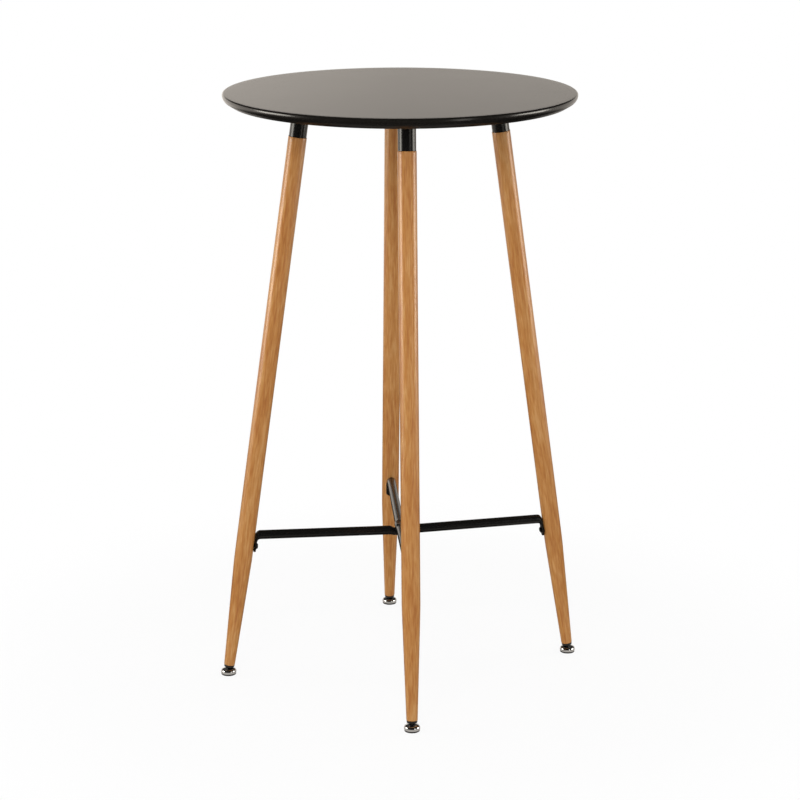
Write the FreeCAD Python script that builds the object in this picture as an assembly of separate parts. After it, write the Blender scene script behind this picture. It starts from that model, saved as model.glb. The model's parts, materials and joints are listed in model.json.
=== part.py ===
import FreeCAD, Part
import math
import os

# Round bar table on four splayed tubular legs, with a crossed foot stretcher and four levelling feet.
# All sizes are in millimetres. The table stands on z = 0, and the Z axis runs through its middle.
# The legs stand on the corners of a rectangle that is longer along X.

# whole table
table_height = 1030.0
splay = 8.04                 # lean of each leg from upright, in degrees
leg_azimuth = 41.8           # direction of the first leg from +X, in degrees
foot_circle_radius = 310.3   # where the legs' middle lines meet the floor

# tabletop: a lacquered board with a bevelled edge under the upright band
top_diameter = 600.0
top_thickness = 18.0
top_arris = 1.5
top_band = 8.7
top_bevel_inset = 16.0
top_knee_radius = 6.0
top_lower_arris = 1.0

# threaded inserts in the underside of the board
insert_diameter = 9.0
insert_cover = 6.0           # board left above an insert
insert_bore = 6.1
insert_fit = 0.05            # all round
insert_end_gap = 0.5

# leg socket: a plate, a leaning sleeve and the spigot that the leg slips over, welded together
plate_size = 76.0
plate_thickness = 3.0
plate_corner_radius = 10.0
plate_screw_inset = 10.0     # from the plate's edges to the middle of a screw
plate_screw_hole = 6.6
sleeve_step = 0.75           # how far the sleeve's outline lies inside the leg's
sleeve_drop = 54.0           # from the board down to the seam between the sleeve and the leg
socket_wall = 1.5
spigot_length = 60.0
spigot_fit = 0.2             # clearance all round between spigot and leg
spigot_round = 1.0
spigot_end_thickness = 4.0
weld_size = 2.5

# screws that hold the plates to the board
plate_screw_diameter = 6.0
plate_screw_end_gap = 1.0    # left in the insert past the screw's end

# leg: a round steel tube, swaged to a cone below the stretcher
leg_diameter = 31.5
leg_end_diameter = 19.0
leg_wall = 1.2
leg_taper_gap = 18.3         # from the lower tab's tip down to the start of the taper
leg_knee_radius = 600.0
bulkhead_thickness = 4.0
bulkhead_gap = 1.0           # left between the spigot's end and the bulkhead, so that the rim seats first
weld_nut_width = 13.0
weld_nut_height = 6.5

# bolt that pulls each leg up against its sleeve
tie_bolt_diameter = 8.0
tie_bolt_length = 25.0
tie_bolt_head_diameter = 13.0
tie_bolt_head_height = 8.0
bolt_hole_clearance = 0.25   # all round

# button head screws, used on the stretcher and the plates
button_head_diameter = 10.5
button_head_height = 3.3
button_rim_height = 1.0
button_crown_diameter = 6.0

# stretcher: two round tubes, pressed half flat where they cross, with their ends pressed flat and bent down
tube_diameter = 16.0
tube_wall = 1.5
lower_end_height = 257.0     # height of the lower tube's middle line where it would meet the tab
stretcher_bow = 5.7          # how much lower the tubes are at the crossing than at their ends
crossing_height = 11.0       # height of a tube where it is pressed
crossing_flat = 5.0          # half the length of the pressed stretch
crossing_run = 14.0          # length of the change from pressed to round
crossing_sections = 4
crossing_hole = 6.4
tab_width = 18.4
tab_thickness = 3.2
tab_tip_drop = 31.0          # from the tube's middle line to the tab's tip
tab_screw_drop = 20.6
tab_tip_radius = 7.0
tab_tip_runout = 0.5         # how far the shears' outline stands off the tab's sides and tip
tab_hole = 6.6
bend_outer_radius = 8.5
bend_inner_radius = 4.5
bend_sections = 8

# screws and rivet nuts of the stretcher
stretcher_screw_diameter = 6.0
stretcher_screw_length = 16.0
crossing_screw_gap = 2.5      # between the crossing screw's end and the upper tube's far wall
rivet_nut_diameter = 9.0
rivet_nut_flange_diameter = 11.0
rivet_nut_flange_thickness = 0.8
rivet_nut_length = 12.0
rivet_nut_fit = 0.05
crossing_nut_gap = 0.5        # between the crossing nut's end and the same wall
screw_fit = 0.05             # all round, between a screw and the thread it runs in

# levelling foot
plug_diameter = 18.4
plug_end_diameter = 17.6
plug_height = 4.6
plug_lower_round = 1.4
plug_spigot_length = 16.0
plug_spigot_fit = 0.15
plug_rib_height = 0.1
plug_rib_length = 1.5
plug_ribs = 2
stem_diameter = 8.0
stem_fit = 0.1
stem_neck_diameter = 5.5
stem_ball_diameter = 9.0
stem_length = 38.0           # from the shoulder to the top
stem_shoulder_gap = 0.6      # thread runs out this far below the plug
ball_fit = 0.12
pad_floor = 2.0              # under the ball's seat
pad_step = 0.5               # how far the pad's outline lies inside the bell's
pad_deck_height = 4.0
pad_arris = 0.6
pad_rim_height = 2.8
pad_boss_wall = 2.4
pad_boss_grip = 1.6          # how far the boss reaches past the ball's middle
bell_diameter = 27.0
bell_height = 12.3
bell_gap = 1.1               # between the bell and the plug
bell_shoulder_height = 8.6
bell_shoulder_radius = 4.5
bell_wall = 0.8
bell_mouth_clearance = 1.95  # between the neck and the mouth, all round
bell_pad_fit = 0.05

oval_turn = 88.0             # half the turn of each end arc of a tube's section, in degrees
overrun = 1.0                # how far a cutting shape stands out past what it cuts
touching = 1e-6              # two points nearer than this are one
circle_turn = 360.0
half_turn = 180.0
quarter_turn = 90.0

# worked out from the sizes above
splay_angle = math.radians(splay)
leg_radius = leg_diameter / 2
leg_bore_radius = leg_radius - leg_wall
top_radius = top_diameter / 2
underside_height = table_height - top_thickness
insert_length = top_thickness - insert_cover
plate_screw_length = plate_thickness + insert_length - plate_screw_end_gap
plate_screw_reach = plate_size / 2 - plate_screw_inset
pad_boss_radius = stem_ball_diameter / 2 + ball_fit + pad_boss_wall
ball_centre_height = pad_floor + ball_fit + stem_ball_diameter / 2
bell_mouth_radius = stem_neck_diameter / 2 + bell_mouth_clearance
leg_names = ["right_back", "left_back", "left_front", "right_front"]
leg_directions = {
    "right_back": leg_azimuth,
    "left_back": half_turn - leg_azimuth,
    "left_front": half_turn + leg_azimuth,
    "right_front": circle_turn - leg_azimuth,
}
lower_tube_legs = ["left_back", "right_front"]


def along_leg(height):
    # distance along a leg's middle line, from the floor, at which it is at this height
    return height / math.cos(splay_angle)


def axis_radius(height):
    # how far a leg's middle line is from the table's axis at this height
    return foot_circle_radius - height * math.tan(splay_angle)


plug_end = along_leg(bell_height) + bell_gap
leg_end = plug_end + plug_height
leg_top = along_leg(underside_height - sleeve_drop)
spigot_end = leg_top - spigot_length
stem_top = plug_end - stem_shoulder_gap + stem_length
bulkhead_top = spigot_end - bulkhead_gap
plate_centre_radius = axis_radius(underside_height)
foot_centre_radius = axis_radius(ball_centre_height)
tab_offset = leg_radius + rivet_nut_flange_thickness
upper_end_height = lower_end_height + 2 * crossing_height - tube_diameter
lower_tube_underside = lower_end_height - stretcher_bow - tube_diameter / 2
crossing_plane = lower_tube_underside + crossing_height    # where the two pressed tubes touch
crossing_nut_length = crossing_height - tube_wall - crossing_nut_gap
crossing_screw_length = 2 * crossing_height - tube_wall - crossing_screw_gap


def vector(x, y, z):
    return FreeCAD.Vector(x, y, z)


up = vector(0, 0, 1)


def outline(corners):
    # closed outline in the XZ plane: each corner is (x, z, radius of its round)
    points = [vector(x, 0, z) for x, z, radius in corners]
    count = len(corners)
    arcs = []
    for i in range(count):
        here = points[i]
        back = (points[i - 1] - here).normalize()
        ahead = (points[(i + 1) % count] - here).normalize()
        radius = corners[i][2]
        half = back.getAngle(ahead) / 2
        reach = radius / math.tan(half)
        bisector = (back + ahead).normalize() if radius else back
        middle = here + bisector * (radius / math.sin(half) - radius)
        arcs.append((here + back * reach, middle, here + ahead * reach, radius))
    edges = []
    for i in range(count):
        start, middle, end, radius = arcs[i]
        if radius:
            edges.append(Part.Arc(start, middle, end).toShape())
        following = arcs[(i + 1) % count][0]
        if (following - end).Length > touching:
            edges.append(Part.LineSegment(end, following).toShape())
    return Part.Wire(edges)


def turned(corners):
    # solid of revolution about Z
    return Part.Face(outline(corners)).revolve(vector(0, 0, 0), up, circle_turn)


def cylinder(radius, start, end, axis=None):
    axis = axis or up
    return Part.makeCylinder(radius, end - start, axis * start, axis)


def hexagon_prism(width, start, end):
    # six-sided prism about Z, width across flats
    reach = width / math.sqrt(3)
    sides = 6
    points = [vector(reach, 0, start)]
    for i in range(1, sides + 1):
        turn = 2 * math.pi * i / sides
        points.append(vector(reach * math.cos(turn), reach * math.sin(turn), start))
    return Part.Face(Part.makePolygon(points)).extrude(up * (end - start))


def placed(shape, placement):
    moved = shape.copy()
    moved.Placement = placement.multiply(moved.Placement)
    return moved


def facing(direction):
    # turns the table's +X to the given direction
    return FreeCAD.Placement(vector(0, 0, 0), FreeCAD.Rotation(up, direction))


def leaning():
    # a leg's own frame: Z runs up its middle line from the floor, X points away from the table's axis
    lean = FreeCAD.Rotation(vector(0, 1, 0), -splay)
    return FreeCAD.Placement(vector(foot_circle_radius, 0, 0), lean)


def inward(distance, height):
    # in a leg's own frame: a frame whose Z points at the table's axis, at this distance from the middle line
    return FreeCAD.Placement(vector(-distance, 0, height), FreeCAD.Rotation(vector(0, 1, 0), -quarter_turn))


def end_height(leg):
    return lower_end_height if leg in lower_tube_legs else upper_end_height


def tab_corner(leg):
    # where a stretcher tube meets the plane of its tab: the radius and height of that point
    height = end_height(leg)
    return axis_radius(height) - tab_offset / math.cos(splay_angle), height


def screw_height(leg):
    # height of the stretcher screw along the leg's middle line
    radius, height = tab_corner(leg)
    rise = (foot_circle_radius - radius) * math.sin(splay_angle) + height * math.cos(splay_angle)
    return rise - tab_screw_drop


def taper_top():
    # where the leg's taper starts, along its middle line, a little below the lower tab's tip
    return screw_height(lower_tube_legs[0]) + tab_screw_drop - tab_tip_drop - leg_taper_gap


def make_tabletop():
    corners = [
        (0, table_height, 0),
        (top_radius, table_height, top_arris),
        (top_radius, table_height - top_band, top_knee_radius),
        (top_radius - top_bevel_inset, underside_height, top_lower_arris),
        (0, underside_height, 0),
    ]
    board = turned(corners)
    hole = cylinder(insert_diameter / 2 + insert_fit, underside_height - overrun,
                    underside_height + insert_length + insert_end_gap)
    holes = [hole.translated(place) for place in plate_screw_places()]
    return board.cut(Part.makeCompound(holes))


def plate_screw_places():
    places = []
    for leg in leg_names:
        turn = facing(leg_directions[leg])
        for side in (-1, 1):
            for end in (-1, 1):
                x = plate_centre_radius + side * plate_screw_reach
                places.append(turn.multVec(vector(x, end * plate_screw_reach, 0)))
    return places


def make_inserts():
    body = cylinder(insert_diameter / 2, underside_height, underside_height + insert_length)
    bore = cylinder(insert_bore / 2, underside_height - overrun, underside_height + insert_length + overrun)
    insert = body.cut(bore)
    return Part.makeCompound([insert.translated(place) for place in plate_screw_places()])


def button_screw(diameter, length):
    # head above z = 0, shank below
    return turned([
        (0, -length, 0),
        (diameter / 2, -length, 0),
        (diameter / 2, 0, 0),
        (button_head_diameter / 2, 0, 0),
        (button_head_diameter / 2, button_rim_height, 0),
        (button_crown_diameter / 2, button_head_height, 0),
        (0, button_head_height, 0),
    ])


def make_plate_screws():
    turned_over = FreeCAD.Rotation(vector(1, 0, 0), half_turn)
    screw = button_screw(plate_screw_diameter, plate_screw_length)
    screws = []
    for place in plate_screw_places():
        seat = vector(place.x, place.y, underside_height - plate_thickness)
        screws.append(placed(screw, FreeCAD.Placement(seat, turned_over)))
    return Part.makeCompound(screws)


def make_socket():
    # built for a leg towards +X, in the table's frame
    lean = leaning()
    far = along_leg(underside_height) + leg_diameter
    sleeve = cylinder(leg_radius - sleeve_step, leg_top, far)
    tube_radius = leg_bore_radius - spigot_fit
    spigot = turned([
        (0, spigot_end, 0),
        (tube_radius, spigot_end, spigot_round),
        (tube_radius, leg_top + overrun, 0),
        (0, leg_top + overrun, 0),
    ])
    above = Part.makeBox(plate_size * 2, plate_size * 2, far,
                         vector(plate_centre_radius - plate_size, -plate_size, underside_height))
    post = placed(sleeve.fuse(spigot), lean).cut(above)
    half = plate_size / 2
    plate = Part.makeBox(plate_size, plate_size, plate_thickness,
                         vector(plate_centre_radius - half, -half, underside_height - plate_thickness))
    corners = [edge for edge in plate.Edges if edge.BoundBox.ZLength > plate_thickness / 2]
    plate = plate.makeFillet(plate_corner_radius, corners)
    socket = post.fuse(plate).removeSplitter()
    seam = [edge for edge in socket.Edges if is_weld_seam(edge)]
    socket = socket.makeFillet(weld_size, seam)
    bore = cylinder(tube_radius - socket_wall, spigot_end + spigot_end_thickness, far)
    bolt_hole = cylinder(tie_bolt_diameter / 2 + bolt_hole_clearance, spigot_end - overrun, far)
    cuts = [placed(bore, lean), placed(bolt_hole, lean)]
    for side in (-1, 1):
        for end in (-1, 1):
            hole = cylinder(plate_screw_hole / 2, underside_height - plate_thickness - overrun,
                            underside_height + overrun)
            x = plate_centre_radius + side * plate_screw_reach
            cuts.append(hole.translated(vector(x, end * plate_screw_reach, 0)))
    return socket.cut(Part.makeCompound(cuts))


def is_weld_seam(edge):
    # the closed curve where the sleeve leaves the lower face of the plate
    box = edge.BoundBox
    flat = box.ZLength < socket_wall / 2
    at_plate = abs(box.ZMax - (underside_height - plate_thickness)) < socket_wall / 2
    return flat and at_plate and edge.isClosed()


def make_tie_bolt():
    # in the leg's frame, head up, seated inside the spigot's end
    seat = spigot_end + spigot_end_thickness
    head = cylinder(tie_bolt_head_diameter / 2, seat, seat + tie_bolt_head_height)
    shank = cylinder(tie_bolt_diameter / 2, seat - tie_bolt_length, seat)
    return head.fuse(shank)


def make_leg(leg):
    # in the leg's frame
    end_radius = leg_end_diameter / 2
    taper = taper_top()
    tube = turned([
        (end_radius, leg_end, 0),
        (leg_radius, taper, leg_knee_radius),
        (leg_radius, leg_top, 0),
        (leg_bore_radius, leg_top, 0),
        (leg_bore_radius, taper, 0),
        (end_radius - leg_wall, leg_end, 0),
    ])
    bulkhead = cylinder(leg_bore_radius, bulkhead_top - bulkhead_thickness, bulkhead_top)
    nut_end = bulkhead_top - bulkhead_thickness - weld_nut_height
    nut = hexagon_prism(weld_nut_width, nut_end, bulkhead_top)
    thread = cylinder(tie_bolt_diameter / 2 + screw_fit, nut_end - overrun, bulkhead_top + overrun)
    nut_hole = cylinder(rivet_nut_diameter / 2 + rivet_nut_fit, 0, leg_radius)
    nut_hole = placed(nut_hole, inward(leg_bore_radius - leg_wall, screw_height(leg)))
    return tube.fuse(bulkhead.fuse(nut)).cut(thread.fuse(nut_hole)).removeSplitter()


def make_rivet_nut(leg):
    # in the leg's frame: a flange bedded on the round of the leg, and a body through its wall
    seat = inward(0, screw_height(leg))
    flange = cylinder(rivet_nut_flange_diameter / 2, leg_bore_radius, tab_offset)
    flange = placed(flange, seat).cut(cylinder(leg_radius, 0, leg_top))
    body = cylinder(rivet_nut_diameter / 2, tab_offset - rivet_nut_length, tab_offset)
    bore = cylinder(stretcher_screw_diameter / 2 + screw_fit, 0, leg_diameter)
    return flange.fuse(placed(body, seat)).cut(placed(bore, seat)).removeSplitter()


def make_stretcher_screw(leg):
    # in the leg's frame
    screw = button_screw(stretcher_screw_diameter, stretcher_screw_length)
    return placed(screw, inward(tab_offset + tab_thickness, screw_height(leg)))


def fair(share):
    # runs from 0 to 1 and starts and ends level
    return share * share * (3 - 2 * share)


# An oval across a tube, in the YZ plane, of two end arcs and two flank arcs that meet smoothly.
# Every section of a tube has the same four arcs, so that a round one flows into a flat one.
def oval(half_width, half_height):
    turn = math.radians(oval_turn)
    between = (half_width - half_height) / (math.sin(turn) + math.cos(turn) - 1)
    end_radius = half_width - between * math.cos(turn)
    y = between * math.cos(turn) + end_radius * math.cos(turn)
    z = end_radius * math.sin(turn)
    corners = [vector(0, y, -z), vector(0, y, z), vector(0, -y, z), vector(0, -y, -z)]
    middles = [vector(0, half_width, 0), vector(0, 0, half_height),
               vector(0, -half_width, 0), vector(0, 0, -half_height)]
    arcs = []
    for i, middle in enumerate(middles):
        arcs.append(Part.Arc(corners[i], middle, corners[(i + 1) % len(corners)]).toShape())
    return Part.Wire(arcs)


def section(centre, direction, half_width, half_height):
    # an oval across the given direction, which lies in the XZ plane
    slope = math.degrees(math.atan2(direction.z, direction.x))
    turn = FreeCAD.Rotation(vector(0, 1, 0), -slope)
    return placed(oval(half_width, half_height), FreeCAD.Placement(centre, turn))


def pressed_half_width(half_height):
    # the tube's outline keeps its length when it is pressed
    return half_height + math.pi * (tube_diameter / 2 - half_height) / 2


def meeting(point, direction, other_point, other_direction):
    # where two lines in the XZ plane cross
    cross = direction.x * other_direction.z - direction.z * other_direction.x
    gap = other_point - point
    reach = (gap.x * other_direction.z - gap.z * other_direction.x) / cross
    return point + direction * reach


def contour(corner, start, end, lead, radius, tail):
    # a straight lead, a round corner and a straight tail: gives its length and a point at each distance
    turn = start.getAngle(end)
    reach = radius * math.tan(turn / 2)
    normal = (end - start * start.dot(end)).normalize()
    arc_start = corner - start * reach
    arc_length = radius * turn

    def point_at(distance):
        if distance < lead:
            return arc_start - start * (lead - distance)
        if distance > lead + arc_length:
            return corner + end * (reach + distance - lead - arc_length)
        angle = (distance - lead) / radius
        centre = arc_start + normal * radius
        return centre + start * (radius * math.sin(angle)) - normal * (radius * math.cos(angle))

    return lead + arc_length + tail, point_at


class HalfTube:
    # Half a stretcher tube in the plane of its leg, from the crossing out to the tab. X points at the leg.
    # The pressed side of the crossing is the upper one (1) or the lower one (-1).

    def __init__(self, leg):
        self.pressed_side = 1 if leg in lower_tube_legs else -1
        radius, height = tab_corner(leg)
        self.corner = vector(radius, 0, height)
        self.middle = vector(0, 0, height - stretcher_bow)
        self.run = (self.corner - self.middle).normalize()
        self.rise = vector(-self.run.z, 0, self.run.x)
        self.down = vector(math.sin(splay_angle), 0, -math.cos(splay_angle))
        self.out = vector(math.cos(splay_angle), 0, math.sin(splay_angle))
        self.set_out_bend()

    def set_out_bend(self):
        # the outer contour of the bend ends on the tab's back, and the inner one on its front
        half = tube_diameter / 2
        front = self.corner - self.out * tab_thickness
        outer_corner = meeting(self.corner + self.rise * half, self.run, self.corner, self.down)
        inner_corner = meeting(self.corner - self.rise * half, self.run, front, self.down)
        slack = math.tan(self.run.getAngle(self.down) / 2)
        outer_reach = bend_outer_radius * slack
        inner_reach = bend_inner_radius * slack
        self.bend_start = outer_corner - self.run * outer_reach - self.rise * half
        lead = (inner_corner - self.bend_start).dot(self.run) - inner_reach
        self.bend_end = inner_corner + self.down * inner_reach + self.out * (tab_thickness / 2)
        tail = (self.bend_end - outer_corner).dot(self.down) - outer_reach
        self.outer = contour(outer_corner, self.run, self.down, 0, bend_outer_radius, tail)
        self.inner = contour(inner_corner, self.run, self.down, lead, bend_inner_radius, 0)

    def along(self, distance):
        return self.middle + self.run * distance

    def crossing(self, wall):
        # the pressed stretch, then the change to the round tube, less a wall all round
        half = crossing_height / 2
        sunk = self.pressed_side * (tube_diameter / 2 - half)
        level_run = vector(1, 0, 0)
        flat = section(self.middle - up * sunk, level_run, pressed_half_width(half) - wall, half - wall)
        sections = []
        for i in range(crossing_sections + 1):
            share = i / crossing_sections
            distance = crossing_flat + crossing_run * share
            press = 1 - fair(share)
            half_height = tube_diameter / 2 * (1 - press) + half * press
            on_level = self.middle + level_run * distance - up * sunk
            on_run = self.along(distance) - self.rise * (sunk * press)
            centre = on_level * press + on_run * (1 - press)
            direction = (level_run * press + self.run * (1 - press)).normalize()
            half_width = pressed_half_width(half_height)
            sections.append(section(centre, direction, half_width - wall, half_height - wall))
        return [Part.Face(flat).extrude(level_run * crossing_flat), Part.makeLoft(sections, True, False)]

    def straight(self, wall):
        start = crossing_flat + crossing_run
        radius = tube_diameter / 2 - wall
        wire = section(self.along(start), self.run, radius, radius)
        length = (self.bend_start - self.middle).dot(self.run) - start
        return Part.Face(wire).extrude(self.run * length)

    def bend(self):
        outer_length, outer_at = self.outer
        inner_length, inner_at = self.inner
        sections = []
        for i in range(bend_sections + 1):
            share = i / bend_sections
            outer = outer_at(outer_length * share)
            inner = inner_at(inner_length * share)
            across = outer - inner
            half_height = across.Length / 2
            press = (tube_diameter / 2 - half_height) / (tube_diameter / 2 - tab_thickness / 2)
            half_width = tube_diameter / 2 * (1 - press) + tab_width / 2 * press
            direction = vector(across.z, 0, -across.x).normalize()
            sections.append(section((outer + inner) * 0.5, direction, half_width, half_height))
        return Part.makeLoft(sections, True, False)

    def tab(self):
        wire = section(self.bend_end, self.down, tab_width / 2, tab_thickness / 2)
        length = tab_tip_drop - (self.bend_end - self.corner).dot(self.down)
        blank = Part.Face(wire).extrude(self.down * length)
        # the shears leave round corners at the tip
        half = tab_width / 2 + tab_tip_runout
        deep = tab_thickness / 2 + overrun
        shears = Part.makeBox(length + tab_tip_runout + overrun, half * 2, deep * 2,
                              vector(-overrun, -half, -deep))
        ends = [edge for edge in shears.Edges if edge.BoundBox.ZLength > deep and edge.BoundBox.XMin > 0]
        shears = shears.makeFillet(tab_tip_radius, ends)
        slope = math.degrees(math.atan2(self.down.z, self.down.x))
        turn = FreeCAD.Rotation(vector(0, 1, 0), -slope)
        return blank.common(placed(shears, FreeCAD.Placement(self.bend_end, turn)))

    def outside(self):
        return self.crossing(0) + [self.straight(0), self.bend(), self.tab()]

    def inside(self):
        return self.crossing(tube_wall) + [self.straight(tube_wall)]


def make_stretcher(legs):
    # one tube between two opposite legs, in the table's frame
    outside = []
    inside = []
    holes = []
    for leg in legs:
        half = HalfTube(leg)
        turn = facing(leg_directions[leg])
        outside += [placed(shape, turn) for shape in half.outside()]
        inside += [placed(shape, turn) for shape in half.inside()]
        hole = cylinder(tab_hole / 2, -overrun, tab_thickness + overrun)
        in_leg = leaning().multiply(inward(tab_offset, screw_height(leg)))
        holes.append(placed(hole, turn.multiply(in_leg)))
    tube = outside[0].multiFuse(outside[1:]).removeSplitter()
    bore = inside[0].multiFuse(inside[1:]).removeSplitter()
    return tube.cut(bore), holes


def make_lower_stretcher():
    tube, holes = make_stretcher(lower_tube_legs)
    holes.append(cylinder(crossing_hole / 2, lower_tube_underside - overrun, crossing_plane + overrun))
    return tube.cut(Part.makeCompound(holes))


def make_upper_stretcher():
    tube, holes = make_stretcher([leg for leg in leg_names if leg not in lower_tube_legs])
    nut_hole = cylinder(rivet_nut_diameter / 2 + rivet_nut_fit, crossing_plane - overrun,
                        crossing_plane + crossing_height / 2)
    holes.append(nut_hole)
    return tube.cut(Part.makeCompound(holes))


def make_crossing_nut():
    start = crossing_plane
    body = cylinder(rivet_nut_diameter / 2, start, start + crossing_nut_length)
    bore = cylinder(stretcher_screw_diameter / 2 + screw_fit, start - overrun,
                    start + crossing_nut_length + overrun)
    return body.cut(bore)


def make_crossing_screw():
    turned_over = FreeCAD.Rotation(vector(1, 0, 0), half_turn)
    screw = button_screw(stretcher_screw_diameter, crossing_screw_length)
    return placed(screw, FreeCAD.Placement(up * lower_tube_underside, turned_over))


def leg_bore_at(height):
    # radius of the leg's tapering bore at this distance along its middle line
    share = (height - leg_end) / (taper_top() - leg_end)
    return leg_end_diameter / 2 - leg_wall + (leg_diameter - leg_end_diameter) / 2 * share


def make_plug():
    # in the leg's frame: a flange under the leg's end, and a ribbed spigot inside it
    top = leg_end + plug_spigot_length
    plug = turned([
        (0, plug_end, 0),
        (plug_end_diameter / 2, plug_end, plug_lower_round),
        (plug_diameter / 2, leg_end, 0),
        (leg_bore_at(leg_end) - plug_spigot_fit, leg_end, 0),
        (leg_bore_at(top) - plug_spigot_fit, top, 0),
        (0, top, 0),
    ])
    pitch = plug_spigot_length / (plug_ribs + 1)
    for i in range(1, plug_ribs + 1):
        start = leg_end + pitch * i - plug_rib_length / 2
        end = start + plug_rib_length
        rib = Part.makeCone(leg_bore_at(start) - plug_spigot_fit + plug_rib_height,
                            leg_bore_at(end) - plug_spigot_fit + plug_rib_height,
                            plug_rib_length, up * start)
        plug = plug.fuse(rib)
    bore = cylinder(stem_diameter / 2 + stem_fit, plug_end - overrun, top + overrun)
    return plug.cut(bore).removeSplitter()


def make_stem():
    # in the leg's frame: a ball, a neck and a threaded rod
    centre = along_leg(ball_centre_height)
    shoulder = plug_end - stem_shoulder_gap
    ball = Part.makeSphere(stem_ball_diameter / 2, up * centre)
    neck = cylinder(stem_neck_diameter / 2, centre, shoulder)
    rod = cylinder(stem_diameter / 2, shoulder, stem_top)
    return ball.fuse(neck).fuse(rod).removeSplitter()


def make_bell():
    # a pressed cap, in an upright frame under the leg's end
    radius = bell_diameter / 2
    slope = (bell_height - bell_shoulder_height) / (radius - bell_mouth_radius)
    drop = bell_wall * math.sqrt(1 + slope * slope)
    inner_radius = radius - bell_wall
    inner_shoulder = bell_shoulder_height + bell_wall * slope - drop
    return turned([
        (radius, pad_rim_height, 0),
        (radius, bell_shoulder_height, bell_shoulder_radius),
        (bell_mouth_radius, bell_height, 0),
        (bell_mouth_radius, bell_height - drop, 0),
        (inner_radius, inner_shoulder, bell_shoulder_radius - bell_wall),
        (inner_radius, pad_rim_height, 0),
    ])


def make_pad():
    # a moulded foot, in the same frame as the bell, with the ball's seat in its boss
    outer_radius = bell_diameter / 2 - pad_step
    inner_radius = bell_diameter / 2 - bell_wall - bell_pad_fit
    boss_height = ball_centre_height + pad_boss_grip
    pad = turned([
        (0, 0, 0),
        (outer_radius, 0, pad_arris),
        (outer_radius, pad_rim_height, 0),
        (inner_radius, pad_rim_height, 0),
        (inner_radius, pad_deck_height, 0),
        (pad_boss_radius, pad_deck_height, 0),
        (pad_boss_radius, boss_height, 0),
        (0, boss_height, 0),
    ])
    seat = Part.makeSphere(stem_ball_diameter / 2 + ball_fit, up * ball_centre_height)
    return pad.cut(seat)


def collect(shapes):
    # separate solids of one node
    solids = []
    for shape in shapes:
        solids += shape.Solids
    return Part.makeCompound(solids)


def export(name, shape):
    if not shape.isValid():
        print("not valid:", name)
    shape.exportStep(os.path.join("parts", name + ".step"))


def export_legs():
    socket = make_socket()
    bolt = make_tie_bolt()
    plug = make_plug()
    stem = make_stem()
    bell = make_bell()
    pad = make_pad()
    bolts = []
    rivet_nuts = []
    screws = []
    for leg in leg_names:
        turn = facing(leg_directions[leg])
        in_leg = turn.multiply(leaning())
        under_leg = turn.multiply(FreeCAD.Placement(vector(foot_centre_radius, 0, 0), FreeCAD.Rotation()))
        export("leg_socket_" + leg, placed(socket, turn))
        export("leg_" + leg, placed(make_leg(leg), in_leg))
        export("leg_plug_" + leg, placed(plug, in_leg))
        export("foot_stem_" + leg, placed(stem, in_leg))
        export("foot_bell_" + leg, placed(bell, under_leg))
        export("foot_pad_" + leg, placed(pad, under_leg))
        bolts.append(placed(bolt, in_leg))
        rivet_nuts.append(placed(make_rivet_nut(leg), in_leg))
        screws.append(placed(make_stretcher_screw(leg), in_leg))
    export("tie_bolts", collect(bolts))
    export("stretcher_rivet_nuts", collect(rivet_nuts))
    export("stretcher_screws", collect(screws))


os.makedirs("parts", exist_ok=True)
export("tabletop", make_tabletop())
export("threaded_inserts", collect([make_inserts()]))
export("plate_screws", collect([make_plate_screws()]))
export_legs()
export("lower_stretcher", make_lower_stretcher())
export("upper_stretcher", make_upper_stretcher())
export("crossing_screw", make_crossing_screw())
export("crossing_rivet_nut", make_crossing_nut())
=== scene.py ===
import json
import math
import bmesh
import bpy
from mathutils import Matrix, Vector


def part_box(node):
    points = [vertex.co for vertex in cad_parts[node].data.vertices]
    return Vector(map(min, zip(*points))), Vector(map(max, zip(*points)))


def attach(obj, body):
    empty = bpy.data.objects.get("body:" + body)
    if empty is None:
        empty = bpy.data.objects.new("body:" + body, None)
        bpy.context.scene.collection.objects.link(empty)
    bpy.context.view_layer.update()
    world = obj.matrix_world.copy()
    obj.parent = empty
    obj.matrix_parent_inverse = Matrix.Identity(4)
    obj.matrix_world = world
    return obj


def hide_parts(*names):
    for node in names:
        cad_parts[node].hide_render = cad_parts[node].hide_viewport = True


# Round bar table: a black lacquered board on four oak film legs, with black sockets, crossed foot tubes
# and chrome levelling feet. Sizes are in millimetres and go through mm into the frame's metres.

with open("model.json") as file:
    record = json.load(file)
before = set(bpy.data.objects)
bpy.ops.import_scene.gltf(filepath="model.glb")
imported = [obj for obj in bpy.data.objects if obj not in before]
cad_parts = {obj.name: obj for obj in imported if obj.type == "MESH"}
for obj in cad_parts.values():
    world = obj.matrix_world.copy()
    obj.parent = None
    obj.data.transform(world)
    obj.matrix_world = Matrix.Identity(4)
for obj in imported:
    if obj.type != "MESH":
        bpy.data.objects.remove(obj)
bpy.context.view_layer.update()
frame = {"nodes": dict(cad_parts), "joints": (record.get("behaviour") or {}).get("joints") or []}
mm = 0.001
up = Vector((0, 0, 1))
legNames = [joint["name"][len("foot_travel_"):] for joint in frame["joints"] if joint["type"] == "slide"]
lowerTubeLegs = ["left_back", "right_front"]
upperTubeLegs = [leg for leg in legNames if leg not in lowerTubeLegs]
print("frame loaded:", len(frame["nodes"]), "nodes")


# node trees

def mathOperator(operation, swapped=False):
    # the method for one of Python's operators, or for its reflected form
    def reckoned(self, value):
        values = (value, self) if swapped else (self, value)
        return self.graph.reckon(operation, *values)
    return reckoned


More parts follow.
